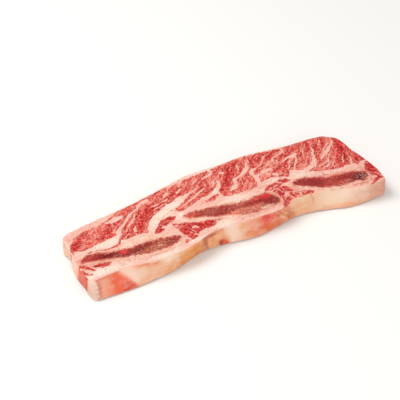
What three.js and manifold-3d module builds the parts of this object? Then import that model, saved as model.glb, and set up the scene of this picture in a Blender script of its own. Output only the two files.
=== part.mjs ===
// A raw beef short rib slice, sawn across three ribs: one flat slab with its wavy rib side to the
// front, the marbled muscle to the back, and seam fat, bones and marrow running through it.
// Millimetres. +X runs along the slice, +Y from the rib side to the outer side, +Z up.
// The origin is the middle of the underside's bounding box, and the slice lies flat on z = 0.
import * as THREE from "three";
import { mergeVertices } from "three/addons/utils/BufferGeometryUtils.js";
import Module from "manifold-3d";

const LENGTH = 213;
const WIDTH = 71.4;
const THICKNESS = 13;
const EDGE_RADIUS = 2.2; // soft edge round both sawn faces
const CORNER_RADII = { leftFront: 4, rightFront: 3, leftBack: 6, rightBack: 10 }; // seen from above
const FACE_SWELL = 0.45; // how far the upper face rises and falls
const TISSUE_GAP = 0.3; // clearance between neighbouring tissues
const MARROW_SINK = 0.6; // the marrow lies this far below both sawn faces
const RIB_LEAN = 4; // the ribs lean by this much in X from the underside to the upper face
const REACH = 150; // a cutting region that runs past the slice on every side ends here
const GRID = { x: 46, y: 16, z: 5 }; // cells of the slab's surface

// The long edges of the slice, as [x, y], from the left end to the right end.
const BACK_EDGE = [
  [-106, 20.5], [-95, 23.5], [-64, 26], [-42, 29.5], [-24, 32.5], [-7, 35.6],
  [9, 35.5], [38, 35], [55, 31.7], [74, 28], [90, 26], [106, 22],
];
const FRONT_EDGE_TOP = [
  [-105, -23.4], [-82, -23], [-70, -25.4], [-50, -27.5], [-34, -26.1], [-20, -21.9], [-12, -21.2],
  [0, -23.3], [11, -23.4], [29, -25.5], [40, -21.8], [49, -21.1], [62, -22.4], [76, -27.9],
  [91, -34], [106, -35.5],
];
const FRONT_EDGE_FOOT = [
  [-105, -28.8], [-83, -30.3], [-61, -30.4], [-45, -28.1], [-31, -23.8], [-22, -23.4], [-11, -25.1],
  [7, -28.9], [20, -28.2], [40, -24.8], [55, -27.2], [75, -34.3], [88, -35.6], [106, -35.8],
];
// The two ends, as [part of the way from the front to the back, x].
const LEFT_END = [[0, -105], [0.25, -106], [0.45, -105.8], [0.6, -105], [0.8, -102.4], [1, -104]];
const RIGHT_END = [
  [0, 104], [0.12, 105], [0.25, 106.2], [0.4, 106.6], [0.55, 105], [0.7, 103], [0.85, 103.6], [1, 103],
];

// The ribs: middle, length and thickness of the sawn section, its tilt in degrees, and how much
// thicker it is towards its right tip. The marrow is the dark core of each.
const RIBS = {
  left: {
    bone: { x: -72.4, y: -12, length: 66, thickness: 16, tilt: -10, taper: 0.55 },
    marrow: { x: -70.5, y: -11.6, length: 59, thickness: 6.8, tilt: -12, taper: 0.3 },
  },
  middle: {
    bone: { x: 1.6, y: -9.8, length: 64, thickness: 15.5, tilt: -14, taper: 0.15 },
    marrow: { x: 3.2, y: -9.4, length: 58, thickness: 9.6, tilt: -14, taper: 0.25 },
  },
  right: {
    bone: { x: 71.5, y: -17.3, length: 53, thickness: 14.4, tilt: -20, taper: 0 },
    marrow: { x: 72, y: -17.1, length: 48, thickness: 9.2, tilt: -20, taper: -0.05 },
  },
};

// The muscle's lower boundary against the seam fat, from the left end to the right end.
const MUSCLE_EDGE = [
  [-120, 5], [-89, 4.6], [-76, 6], [-71, 1], [-60, -1], [-52, -0.5], [-45, 6], [-34, 8.6],
  [-27, 6], [-6, 6.6], [9, 2.8], [25, 2.2], [44, 4], [60, 3.4], [67, -2.2], [80, -6.4], [94, -9.6],
  [120, -11],
];
// The band of seam fat that parts the two halves of the muscle: its centre line and its width.
const PARTING_SEAM = {
  line: [[-51, -3.5], [-48, 3], [-41, 8.4], [-33, 12.4], [-24, 15.6], [-9, 20]],
  root: 5,
  tip: 1.4,
};
// The fat cap along the outer edge, as [x, thickness]. It is thick at the left end and then a rim.
const CAP_THICKNESS = [[-120, 5.2], [-86, 4.2], [-68, 2.6], [-30, 2.2], [40, 2], [76, 1]];

// Muscle that lies between and beside the ribs, each as a closed outline.
const RIB_MUSCLES = {
  rib_muscle_left_end: [
    [-120, -11.6], [-103, -12.4], [-90, -15.6], [-87.6, -17], [-90, -18.4], [-100, -18.6], [-120, -20],
  ],
  rib_muscle_crescent: [
    [-50.4, -5.6], [-48.4, -1.4], [-43, 2.6], [-36, 3.6], [-33.6, 2.4], [-37, -0.6], [-43.4, -3.4],
  ],
  rib_muscle_left: [
    [-39.4, -3.6], [-34.4, -4.4], [-29, -6.2], [-24.6, -10.4], [-21, -12.6], [-15, -12.8],
    [-14.6, -15.4], [-24.4, -16.4], [-29.6, -17.6], [-32.2, -21.4], [-35.4, -21.2], [-36.4, -13],
  ],
  rib_muscle_strip: [[29.8, -4.8], [37, -2], [45.6, -0.2], [49.4, -2.2], [44, -4.8], [36.8, -6]],
  rib_muscle_right: [
    [33.8, -8], [41.4, -8], [44.2, -12.6], [49.4, -17.2], [55.6, -20.4], [51.6, -20.8],
    [42.6, -20.2], [35.6, -23], [31.2, -23.8], [36, -18],
  ],
  rib_muscle_right_end: [
    [99.6, -17.6], [120, -14.6], [120, -31.4], [96, -31.8], [94.2, -30.4], [99.4, -27.4],
  ],
};

const COLOURS = { muscle: 0xcf4b48, fat: 0xf6d6c2, bone: 0xf0c4b0, marrow: 0x8f3336 };
const ROUGHNESS = { muscle: 0.4, fat: 0.45, bone: 0.55, marrow: 0.7 };

const wasm = await Module();
wasm.setup();

// A manifold-3d solid from a closed three.js geometry.
function solidOf(geometry) {
  const bare = geometry.clone();
  bare.deleteAttribute("normal");
  bare.deleteAttribute("uv");
  const merged = mergeVertices(bare, 1e-4);
  const vertProperties = merged.attributes.position.array;
  const triVerts = new Uint32Array(merged.index.array);
  return new wasm.Manifold(new wasm.Mesh({ numProp: 3, vertProperties, triVerts }));
}

// A named three.js mesh from a manifold-3d solid.
function meshOf(name, solid, tissue) {
  const { vertProperties, triVerts } = solid.getMesh();
  const geometry = new THREE.BufferGeometry();
  geometry.setAttribute("position", new THREE.BufferAttribute(vertProperties, 3));
  geometry.setIndex(new THREE.BufferAttribute(triVerts, 1));
  geometry.computeVertexNormals();
  const material = new THREE.MeshStandardMaterial({
    color: COLOURS[tissue],
    roughness: ROUGHNESS[tissue],
    metalness: 0,
  });
  const mesh = new THREE.Mesh(geometry, material);
  mesh.name = name;
  return mesh;
}

// A function of the first coordinate, along a smooth curve through the points.
function curveThrough(points) {
  const curve = new THREE.SplineCurve(points.map(([x, y]) => new THREE.Vector2(x, y)));
  const line = curve.getPoints(points.length * 10);
  return (x) => {
    const next = line.findIndex((p) => p.x >= x);
    if (next === 0) return line[0].y;
    if (next < 0) return line.at(-1).y;
    const [a, b] = [line[next - 1], line[next]];
    return THREE.MathUtils.lerp(a.y, b.y, (x - a.x) / (b.x - a.x));
  };
}
const backEdge = curveThrough(BACK_EDGE);
const frontEdgeTop = curveThrough(FRONT_EDGE_TOP);
const frontEdgeFoot = curveThrough(FRONT_EDGE_FOOT);
const leftEnd = curveThrough(LEFT_END);
const rightEnd = curveThrough(RIGHT_END);
const capThickness = curveThrough(CAP_THICKNESS);

// Grid lines from -half to half: even in the middle, with one more line inside each soft edge.
function gridLines(half, cells) {
  const inner = half - EDGE_RADIUS;
  const evenCells = cells - 4;
  const even = Array.from({ length: evenCells + 1 }, (_, i) => inner * ((2 * i) / evenCells - 1));
  const shoulder = half - EDGE_RADIUS * 0.4;
  return [-half, -shoulder, ...even, shoulder, half];
}

// Moves a point of a sharp box onto the same box with round edges.
function softenEdges(p, half) {
  const inner = half.clone().subScalar(EDGE_RADIUS);
  const core = p.clone().clamp(inner.clone().negate(), inner);
  const out = p.clone().sub(core);
  out.setLength(Math.min(out.length(), EDGE_RADIUS));
  return core.add(out);
}

// Rounds the four corners of the plan, ring by ring, so that the grid stays even.
function roundCorners(p, half) {
  const ring = Math.max(Math.abs(p.x) / half.x, Math.abs(p.y) / half.y);
  const corner = `${p.x < 0 ? "left" : "right"}${p.y < 0 ? "Front" : "Back"}`;
  const radius = CORNER_RADII[corner] * ring;
  const inner = new THREE.Vector2(half.x * ring - radius, half.y * ring - radius);
  const core = new THREE.Vector2(p.x, p.y).clamp(inner.clone().negate(), inner);
  const out = new THREE.Vector2(p.x, p.y).sub(core);
  out.setLength(Math.min(out.length(), radius));
  return new THREE.Vector3(core.x + out.x, core.y + out.y, p.z);
}

// The sawn face isn't quite flat: it has long, shallow swells.
function faceSwell(x, y) {
  const long = Math.sin(x / 23 + 0.6) * Math.cos(y / 15);
  const short = Math.sin(x / 9.5 + y / 12);
  return FACE_SWELL * (long + 0.5 * short);
}

// The whole slice before it is divided into tissues: a box grid drawn onto the slice's outline.
function makeSlab() {
  const half = new THREE.Vector3(LENGTH / 2, WIDTH / 2, THICKNESS / 2);
  const box = new THREE.BoxGeometry(2, 2, 2, GRID.x, GRID.y, GRID.z);
  const lines = ["x", "y", "z"].map((axis) => gridLines(half[axis], GRID[axis]));
  const cellCounts = [GRID.x, GRID.y, GRID.z];
  const place = box.getAttribute("position");
  for (let i = 0; i < place.count; i++) {
    const unit = [place.getX(i), place.getY(i), place.getZ(i)];
    const onGrid = unit.map((u, axis) => lines[axis][Math.round(((u + 1) / 2) * cellCounts[axis])]);
    const q = roundCorners(softenEdges(new THREE.Vector3(...onGrid), half), half);
    const part = q.clone().divide(half).addScalar(1).divideScalar(2);
    const x = THREE.MathUtils.lerp(leftEnd(part.y), rightEnd(part.y), part.x);
    const front = THREE.MathUtils.lerp(frontEdgeFoot(x), frontEdgeTop(x), part.z);
    const y = THREE.MathUtils.lerp(front, backEdge(x), part.y);
    const z = part.z * (THICKNESS + faceSwell(x, y));
    place.setXYZ(i, x, y, z);
  }
  box.computeBoundingBox();
  const { min, max } = box.boundingBox;
  const size = max.clone().sub(min);
  box.translate(-(min.x + max.x) / 2, -(min.y + max.y) / 2, -min.z);
  box.scale(LENGTH / size.x, WIDTH / size.y, THICKNESS / size.z);
  return solidOf(box);
}

// A prism of an outline that leans as the ribs do, right through the slice unless told otherwise.
function prismOf(outline, low = -2, high = THICKNESS + 2) {
  const shape = new THREE.Shape(outline);
  const prism = new THREE.ExtrudeGeometry(shape, { depth: high - low, bevelEnabled: false });
  prism.translate(0, 0, low - THICKNESS);
  prism.applyMatrix4(new THREE.Matrix4().makeShear(0, 0, 0, 0, RIB_LEAN / THICKNESS, 0));
  prism.translate(0, 0, THICKNESS);
  return solidOf(prism);
}

// A closed, anticlockwise outline moved outwards by a distance.
function grown(outline, by) {
  const count = outline.length;
  return outline.map((p, i) => {
    const run = outline[(i + 1) % count].clone().sub(outline[(i + count - 1) % count]).normalize();
    return new THREE.Vector2(p.x + run.y * by, p.y - run.x * by);
  });
}

// A closed, anticlockwise curve through [x, y] points.
function closedCurve(points) {
  const loop = new THREE.CatmullRomCurve3(points.map(([x, y]) => new THREE.Vector3(x, y, 0)), true);
  const outline = loop.getPoints(points.length * 3).slice(0, -1);
  const flat = outline.map((p) => new THREE.Vector2(p.x, p.y));
  return THREE.ShapeUtils.isClockWise(flat) ? flat.reverse() : flat;
}

// The tapered oval of a sawn rib or of its marrow.
function ovalOutline({ x, y, length, thickness, tilt, taper }, corners = 32) {
  const turn = THREE.MathUtils.degToRad(tilt);
  return Array.from({ length: corners }, (_, i) => {
    const angle = (2 * Math.PI * i) / corners;
    const along = (Math.cos(angle) * length) / 2;
    const side = (Math.sin(angle) * (1 + taper * Math.cos(angle)) * thickness) / 2;
    const point = new THREE.Vector2(along, side).rotateAround(new THREE.Vector2(), turn);
    return point.add(new THREE.Vector2(x, y));
  });
}

// A band along a centre line, whose width shrinks from root to tip.
function bandOutline({ line, root, tip }, extra = 0, steps = 12) {
  const curve = new THREE.SplineCurve(line.map(([x, y]) => new THREE.Vector2(x, y)));
  const right = [];
  const left = [];
  for (let i = 0; i <= steps; i++) {
    const p = curve.getPoint(i / steps);
    const run = curve.getTangent(i / steps);
    const half = THREE.MathUtils.lerp(root, tip, i / steps) / 2 + extra;
    right.push(new THREE.Vector2(p.x + run.y * half, p.y - run.x * half));
    left.unshift(new THREE.Vector2(p.x - run.y * half, p.y + run.x * half));
  }
  return [...right, ...left];
}

// Everything behind the muscle's lower boundary, which is moved forwards by a distance.
function muscleOutline(by = 0) {
  const curve = new THREE.SplineCurve(MUSCLE_EDGE.map(([x, y]) => new THREE.Vector2(x, y - by)));
  const boundary = curve.getPoints(MUSCLE_EDGE.length * 4);
  return [...boundary, new THREE.Vector2(REACH, REACH), new THREE.Vector2(-REACH, REACH)];
}

// Everything outside the line that follows the back edge at the cap's thickness plus a distance.
function capOutline(by = 0, step = 5) {
  const tip = CAP_THICKNESS.at(-1)[0] + by;
  const inner = [];
  for (let x = -REACH; x < tip; x += step) {
    inner.push(new THREE.Vector2(x, backEdge(x) - capThickness(x) - by));
  }
  inner.push(new THREE.Vector2(tip, backEdge(tip) - capThickness(tip) - by));
  return [...inner, new THREE.Vector2(tip, REACH), new THREE.Vector2(-REACH, REACH)];
}

const slab = makeSlab();
const everywhere = [[-REACH, -REACH], [REACH, -REACH], [REACH, REACH], [-REACH, REACH]];
const marrowLayer = prismOf(
  everywhere.map(([x, y]) => new THREE.Vector2(x, y)),
  MARROW_SINK,
  THICKNESS - 2 * MARROW_SINK,
);

const slice = new THREE.Group();
let seamFat = slab;

// Each rib is a bony ring with its marrow inside.
for (const [side, { bone, marrow }] of Object.entries(RIBS)) {
  const outline = ovalOutline(bone);
  const core = ovalOutline(marrow);
  const ring = slab.intersect(prismOf(outline)).subtract(prismOf(grown(core, TISSUE_GAP)));
  const filling = slab.intersect(marrowLayer).intersect(prismOf(core));
  slice.add(meshOf(`bone_${side}`, ring, "bone"));
  slice.add(meshOf(`marrow_${side}`, filling, "marrow"));
  seamFat = seamFat.subtract(prismOf(grown(outline, TISSUE_GAP)));
}

// Muscle between and beside the ribs.
for (const [name, points] of Object.entries(RIB_MUSCLES)) {
  const outline = closedCurve(points);
  slice.add(meshOf(name, slab.intersect(prismOf(outline)), "muscle"));
  seamFat = seamFat.subtract(prismOf(grown(outline, TISSUE_GAP)));
}

// The main muscle keeps clear of the cap and of the parting seam, and the seam fat takes the rest.
const muscle = slab
  .intersect(prismOf(muscleOutline()))
  .subtract(prismOf(capOutline(TISSUE_GAP)))
  .subtract(prismOf(bandOutline(PARTING_SEAM, TISSUE_GAP)));
const behindSeam = prismOf(muscleOutline(TISSUE_GAP)).subtract(prismOf(bandOutline(PARTING_SEAM)));
slice.add(meshOf("muscle", muscle, "muscle"));
slice.add(meshOf("fat_cap", slab.intersect(prismOf(capOutline())), "fat"));
slice.add(meshOf("seam_fat", seamFat.subtract(behindSeam), "fat"));

export default slice;
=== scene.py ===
"""Looks for a raw beef short rib slice: marbled flesh with its seam fat, and three sawn ribs with marrow.

Shapes are worked out in millimetres in the slice's own frame and are written into the meshes in metres.
"""

import math

import bpy
import numpy as np
from mathutils import Euler, Matrix, Vector

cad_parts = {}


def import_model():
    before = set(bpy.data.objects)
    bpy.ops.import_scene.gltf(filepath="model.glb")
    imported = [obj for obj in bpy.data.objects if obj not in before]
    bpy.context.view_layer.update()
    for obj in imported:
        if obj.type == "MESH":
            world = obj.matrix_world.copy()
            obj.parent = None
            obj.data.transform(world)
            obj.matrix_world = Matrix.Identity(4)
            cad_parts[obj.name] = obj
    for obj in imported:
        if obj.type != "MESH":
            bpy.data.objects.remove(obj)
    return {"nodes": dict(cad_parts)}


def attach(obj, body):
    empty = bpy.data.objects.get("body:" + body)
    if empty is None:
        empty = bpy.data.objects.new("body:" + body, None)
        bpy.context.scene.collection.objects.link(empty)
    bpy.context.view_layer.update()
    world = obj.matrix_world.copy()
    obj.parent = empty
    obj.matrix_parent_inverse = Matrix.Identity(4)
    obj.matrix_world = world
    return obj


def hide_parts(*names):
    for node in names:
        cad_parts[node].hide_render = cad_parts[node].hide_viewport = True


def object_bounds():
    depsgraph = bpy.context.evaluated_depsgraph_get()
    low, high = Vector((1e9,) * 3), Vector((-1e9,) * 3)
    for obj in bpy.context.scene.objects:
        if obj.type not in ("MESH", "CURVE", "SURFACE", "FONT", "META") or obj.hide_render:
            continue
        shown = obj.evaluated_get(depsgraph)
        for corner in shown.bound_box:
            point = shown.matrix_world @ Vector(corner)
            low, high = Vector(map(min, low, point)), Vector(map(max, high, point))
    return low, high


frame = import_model()
CAD_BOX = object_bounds()

MM = 0.001
LENGTH, WIDTH, THICKNESS = ((high - low) / MM for low, high in zip(*CAD_BOX))
CLEARANCE = 0.06  # the dressed slice stays this far inside the solid one
EDGE_RADIUS = 1.2
CORNER_RADII = {(-1, -1): 4, (1, -1): 3, (-1, 1): 6, (1, 1): 9}  # by the signs of x and y
RIB_LEAN = 4  # the tissues lean by this much in X from the underside to the upper face
END_COVER = 2.2  # the ribs stop this far inside the left end

# Grid cells along, across and up, and round each soft edge.
FLESH_CELLS = (340, 116, 16)
RIB_CELLS = (230, 60, 8)
EDGE_CELLS = 4

# Relief of the flesh.
FACE_SWELL = 0.45
FACE_RIPPLE = 0.1
MUSCLE_SINK = 0.12  # the muscle lies this far below the fat
FIBRE_RIPPLE = 0.08
SIDE_SWELL = 0.5
SIDE_RIPPLE = 0.2
RIB_POCKET = 1.6  # the flesh lies this far below its face under a rib, so that only the rib shows
BEADS = 5  # beads of fat down the front left corner
BEAD_SPACING = 2.6
BEAD_HEIGHT = 0.7

# Relief of the ribs.
RIB_FOOT = 0.15  # height of a rib's underside
RIB_INSET = 0.3  # how far a rib's upper face lies below the swollen face of the slice
RIB_EDGE = 0.5
MARROW_DEPTH = 0.45
PORE_DEPTH = 0.25
BONE_RIPPLE = 0.05

# Depths into the fat, and into the left end's lean, are cut off at these values.
FAT_LIMIT = 6
END_LIMIT = 3
RIND_DEPTH = 2  # depth into the fat that closes the back
RIND_END = (66, 76)  # this fat fades out between these places along the slice

# How finely curves and random patterns are worked out.
CURVE_STEPS = 5  # points to a span of a band or a closed outline
EDGE_STEPS = 10  # points to a span of a long edge
GRAIN_REACH = 130  # the fibres are followed this far to either side
BAND_MARGIN = 8  # further than this from its centre line, a band isn't measured
FAR = 99.0  # stands for a depth that isn't measured
WANDER_CELLS = 32
WANDER_TURN = np.array(Euler((0.5, 0.7, 0.9)).to_matrix())  # so no random grid lines up with the slice
TINY = 1e-9  # keeps a division away from zero

# Colours, as screen values from 0 to 255.
LEAN = (226, 76, 70)
DEEP_LEAN = (164, 10, 16)
MARBLING = (240, 158, 138)
FAT = (240, 187, 170)
WHITE_FAT = (243, 220, 203)
STAINED_FAT = (214, 96, 84)
MEMBRANE_STREAK = (250, 222, 200)
BONE = (237, 178, 154)
PALE_BONE = (247, 214, 191)
STAINED_BONE = (206, 92, 80)
MARROW_WALL = (244, 190, 172)

# How light scatters under the surface of every tissue.
SCATTER = {"Subsurface_Radius": (1.0, 0.4, 0.25), "Subsurface_Scale": MM}

# The camera: where it stands in millimetres, its right and up directions, and its focal length in picture
# widths.
CAMERA_PLACE = (-309.1, -494.9, 493.0)
CAMERA_RIGHT = (0.8607, -0.5090, 0)
CAMERA_UP = (0.3231, 0.5463, 0.7727)
FOCAL_WIDTHS = 2.98
SENSOR_WIDTH = 36

# The studio, in metres: the floor, the light all round, and each lamp's place, width and power.
FLOOR_SIZE = 6
FLOOR_DROP = 0.2 * MM
FLOOR_WHITE = (0.93, 0.92, 0.9, 1)
DAYLIGHT = (1, 0.98, 0.95, 1)
DAYLIGHT_STRENGTH = 0.52
KEY_LAMP = ((-0.5, 0.5, 1.1), 0.7, 10.2)
FILL_LAMP = ((-0.2, -1.0, 0.7), 1.0, 4.8)

# The long edges of the slice, as (x, y), and its ends, as (part of the way to the back, x).
BACK_EDGE = [(-106, 20.5), (-95, 23.5), (-64, 26), (-42, 29.5), (-24, 32.5), (-7, 35.6), (9, 35.5),
             (38, 35), (55, 31.9), (74, 29), (90, 27), (106, 23)]
FRONT_EDGE_TOP = [(-105, -23.4), (-82, -23), (-70, -25.4), (-50, -27.5), (-34, -26.1), (-20, -21.9),
                  (-12, -21.2), (0, -23.3), (11, -23.4), (29, -25.5), (40, -21.8), (49, -21.1),
                  (62, -22.4), (76, -27.9), (91, -34), (106, -35.5)]
FRONT_EDGE_FOOT = [(-105, -28.8), (-83, -30.3), (-61, -30.4), (-45, -28.1), (-31, -23.8), (-22, -23.4),
                   (-11, -25.1), (7, -28.9), (20, -28.2), (40, -24.8), (55, -27.2), (75, -34.3),
                   (88, -35.6), (106, -35.8)]
LEFT_END = [(0, -105), (0.25, -106), (0.45, -105.8), (0.6, -105), (0.8, -102.4), (1, -104)]
RIGHT_END = [(0, 104), (0.12, 105), (0.25, 106.2), (0.4, 106.6), (0.55, 105.6), (0.7, 104.4), (0.85, 104),
             (1, 103)]

# Sawn ribs and the marrow in them, as closed outlines on the upper face.
RIBS = {
    "left": {
        "bone": [(-104, -5.4), (-100, -2.4), (-93, -1.4), (-86, -3.4), (-78, -4.2), (-70, -3.4),
                 (-60, -3.2), (-52, -5), (-45, -8.4), (-39.6, -12), (-37.8, -16), (-40, -20.6), (-46, -23),
                 (-54, -23), (-63, -21.6), (-72, -19), (-81, -16), (-90, -13), (-98, -10.4), (-103, -8.4)],
        "marrow": [(-101.4, -6.3), (-99.5, -4), (-95.7, -3), (-91.4, -3.6), (-87.9, -5.1), (-83.3, -7.2),
                   (-79.5, -8.4), (-74.8, -8.6), (-70.2, -10.1), (-64.8, -9.8), (-54.8, -10.9),
                   (-49.4, -11.8), (-44, -13.2), (-40.3, -14.8), (-40.2, -16.7), (-42.4, -17.5),
                   (-46.3, -19.2), (-54, -19.4), (-63.3, -17.9), (-69.4, -15.9), (-78.7, -14),
                   (-83.3, -11.8), (-88.7, -10.5), (-94.1, -8.2)],
    },
    "middle": {
        "bone": [(-30, -0.6), (-27.6, 2.2), (-22, 3), (-14, 2.4), (-6, 0.6), (2, -2), (10, -4.4),
                 (20, -4.8), (28, -5.2), (32.4, -8.4), (33.8, -13), (33.6, -18), (31, -21), (26, -22),
                 (18, -21.8), (10, -20.8), (1, -18.4), (-8, -14), (-16, -10.2), (-24, -6.2),
                 (-28.6, -3.6)],
        "marrow": [(-27, -0.4), (-26, 0.5), (-23.1, 0.4), (-17, -0.1), (-10.8, -1.3), (-5.4, -2.8),
                   (0, -4.7), (5, -6.6), (10.2, -7.8), (20, -7.5), (25.8, -7.4), (29, -8.2), (31.7, -14),
                   (31.6, -17.6), (27.4, -19.5), (23.5, -18.5), (20, -19.1), (10.2, -18.3), (4.7, -16.8),
                   (0, -14), (-4.6, -11.7), (-8.5, -10.5), (-14.2, -7.8), (-19.7, -4.9), (-23.9, -3.2),
                   (-26.6, -2)],
    },
    "right": {
        "bone": [(46.6, -9), (48.4, -5.6), (53, -3.8), (60, -4.2), (65, -6.6), (72, -10.6), (80, -13),
                 (88, -14.6), (95, -17.4), (98.4, -21), (97.8, -26), (95, -29.6), (89, -30), (80, -28),
                 (72, -26.6), (66, -24), (60, -20), (54, -15.8), (49, -12.6)],
        "marrow": [(49.5, -8.6), (50.9, -7), (54, -6.4), (59.1, -6.8), (62.6, -8.9), (67.3, -11.7),
                   (72.8, -14), (78.3, -15.6), (84.6, -16.8), (90, -18.3), (95.1, -21.1), (95.7, -23.4),
                   (93.2, -26.9), (89.3, -27.1), (85.4, -25.4), (75.2, -24.8), (70.5, -22.6),
                   (66.6, -20.7), (62.6, -19.1), (58.7, -16), (54.8, -13.2), (51.3, -10.9)],
    },
}

# The muscle's boundary against the seam fat, and how far the fat cap reaches in from the back edge.
MUSCLE_EDGE = [(-120, 5), (-103, 4.6), (-99, 3.4), (-95, 3), (-88, 4), (-80, 4.7), (-76.5, 5.4),
               (-74, 6.4), (-71.6, 6), (-71, 1), (-69, -0.9), (-65, -0.4), (-62, -0.8), (-58, -0.6),
               (-54, -2), (-52.6, 1), (-51, 4), (-48, 7.6), (-44, 9), (-36, 10), (-31, 9), (-28.6, 6.6),
               (-25, 6), (-22, 6.6), (-18, 7.6), (-14, 8.8), (-10, 9.8), (-5, 10.4), (-1, 12), (2, 13.2),
               (3.4, 12), (4, 4.6), (6, 2.6), (10, 2), (18, 1.6), (22, 1.2), (28, 2), (33.6, 4), (40, 5.4),
               (43, 4.4), (48, 2), (51.4, 0.8), (55, 5), (58, 4.8), (61, 2.2), (66, 0.6), (67.6, -3),
               (71, -4.6), (78, -7), (84, -8.6), (92, -9.4), (104, -9.8), (120, -11)]
CAP_THICKNESS = [(-120, 12), (-104, 11), (-100, 10), (-96, 6.6), (-92, 6), (-88, 4.8), (-80, 5.6),
                 (-74, 4.4), (-68, 3.4), (-62, 1), (-50, 0.5), (-36, 0.7), (-26, 1.2), (-21, 2.8),
                 (-10, 3.2), (0, 3), (8, 2.8), (14, 2.2), (22, 1.2), (30, 1.2), (38, 1.8), (48, 1.8),
                 (58, 2), (66, 2.2), (72, 0.6), (80, -0.4), (92, -2), (120, -2)]

# Fat in the muscle: a centre line, and its widths from end to end.
VEINS = [
    ([(-53.2, -5), (-51, 1), (-47.6, 5.4), (-43, 8.4), (-37, 10.4), (-31.6, 12.6), (-26, 14.6),
      (-20, 16.6), (-14, 17.8), (-9, 19.2), (-4.6, 21.6)],
     (3.6, 4.2, 5, 5.6, 6.2, 5.6, 4.8, 2.6, 1.6, 1.2)),
    ([(-31, 8.6), (-29, 4), (-29.4, -2)], (5, 5, 5)),
    ([(-25, 9.2), (-20.5, 10.8), (-15.6, 13), (-11, 14.4), (-6, 16.2), (-3, 17.6)], (0.7, 1, 1.6, 1.8, 1)),
    ([(-3, 9.8), (2, 11), (5.2, 13.6), (7.4, 17.4), (9, 19.6)], (2.6, 4, 4, 2.4, 1)),
    ([(-69.4, 18.8), (-66, 18.9), (-63, 19.2)], (3.6, 5, 3.6)),
    ([(-74, 19.4), (-70, 19.4)], (1, 3)),
    ([(-71, 6.8), (-68.4, 9.6), (-65.4, 12), (-62, 13.2)], (3.8, 2.8, 2.2, 1.4)),
    ([(-62, 13.6), (-59.8, 15.9), (-57.2, 18), (-54.6, 19.8), (-50, 21.6), (-47.8, 23.8), (-44, 25.2),
      (-40, 26)], (1, 1.8, 1.8, 1.4, 1.6, 3, 2.4)),
    ([(-62, 10), (-58.3, 12.3), (-56.1, 14.9), (-53.9, 17.2)], (1, 1.6, 1)),
    ([(-60.6, 3.8), (-59.8, 5.6), (-58.6, 7.4)], (1.8, 1.6, 0.8)),
    ([(-43, 18.4), (-35, 19.4), (-28, 21)], (0.5, 0.9, 0.5)),
    ([(-42, 15), (-35, 16.6), (-30.6, 17.3)], (0.6, 0.9, 0.6)),
    ([(-29.6, 23), (-27.4, 24.8), (-25.4, 26.8), (-24, 29.6), (-21, 33)], (1.6, 2.6, 1.2, 1.2, 1.8)),
    ([(-20, 22.8), (-17, 24.6)], (2, 2.4)),
    ([(-17, 26.6), (-14.6, 30), (-13.6, 32)], (0.7, 1.8, 3)),
    ([(-9, 25), (-5.4, 26.6), (-2, 28)], (0.8, 1.8, 0.8)),
    ([(1.4, 26.8), (3.4, 27.2), (6, 28.2), (9, 29.8), (10, 32)], (1.6, 2.6, 1.8, 1.6, 3)),
    ([(0.9, 15.2), (4.4, 19.4), (6.8, 21.6)], (0.8, 1.8, 0.8)),
    ([(6, 16.6), (9.4, 21), (12, 25)], (0.9, 0.9, 0.6)),
    ([(14, 27), (16.4, 25.4)], (1.6, 1.4)),
    ([(10.6, 6.4), (14, 8.4), (16.6, 11), (18.4, 14.6), (22, 16.8), (27, 18.4), (31, 20.6), (33, 24),
      (34.6, 28.6)], (2.6, 3.4, 2.4, 2.8, 2.2, 2.6, 3, 1.8, 0.9)),
    ([(30, 2), (31.4, 7), (32.2, 12), (33, 16.6), (36.4, 19.4)], (3.4, 3.8, 3.8, 3.4, 1.2)),
    ([(34.4, 11.4), (39, 13), (45, 12.6)], (2.6, 3.6, 2.6)),
    ([(40, 9.4), (45, 6.4)], (1.8, 3)),
    ([(26.6, 23.4), (28.2, 27)], (1, 1.6)),
    ([(35.4, 25.6), (37.2, 29)], (1, 1.2)),
    ([(38, 19), (42, 21), (46.4, 24.6), (50.2, 27.2)], (0.8, 1.4, 1.2, 0.8)),
    ([(44, 17), (47, 19.4), (50, 20.8)], (0.8, 1, 0.8)),
    ([(50.4, 18.6), (53, 22), (57, 23), (61.6, 24.8), (62.8, 28)], (0.8, 1.2, 1, 1.4, 2.2)),
    ([(51, 16), (54.8, 19.6)], (0.8, 1)),
    ([(55.6, 15.4), (60, 17.2), (65.5, 17.2), (69, 18.6)], (0.8, 2, 3.4, 1.6)),
    ([(67, 15.6), (64, 11), (61, 8), (58.6, 5)], (1.4, 1.4, 1.2, 1.4)),
    ([(62.4, 16), (58.9, 11.6), (55, 7.3)], (0.7, 0.9, 0.6)),
    ([(64, -0.6), (70, 1.4), (74, 4.8), (77, 9.2), (79.4, 13), (81, 17), (81.9, 22)],
     (5, 4.4, 3.2, 2.4, 1.8, 1.8, 0.7)),
    ([(79.6, 4.6), (84, 7.8), (88.7, 10.8), (92.6, 13.2), (96.4, 16.6), (98.6, 18.8)],
     (1.2, 2.2, 2.8, 2.4, 1.4, 0.6)),
    ([(82, 8.6), (86, 12), (90.4, 15.4), (94, 18.6)], (0.5, 1, 1, 0.5)),
    ([(86, 5.6), (91, 9.4), (95.4, 13)], (0.5, 0.9, 0.5)),
    ([(75, -0.8), (79.4, 0), (83.6, 1.9), (87.4, 6.4)], (1, 1.2, 1, 0.6)),
    ([(77, -3.4), (81, -2), (85, 0.4)], (1, 1, 0.6)),
    ([(83, -4), (87, -0.4), (90, 3)], (0.8, 1, 0.6)),
    ([(91, -5), (93, -2), (96, 2.4)], (1, 1, 0.5)),
    ([(94.6, -9.4), (97.6, -5), (99.4, -2)], (1.4, 1.4, 0.5)),
    ([(71, 11), (73.4, 17), (76, 22)], (0.6, 0.8, 0.5)),
    ([(88, 19.4), (91, 23)], (0.7, 0.9)),
]

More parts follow.
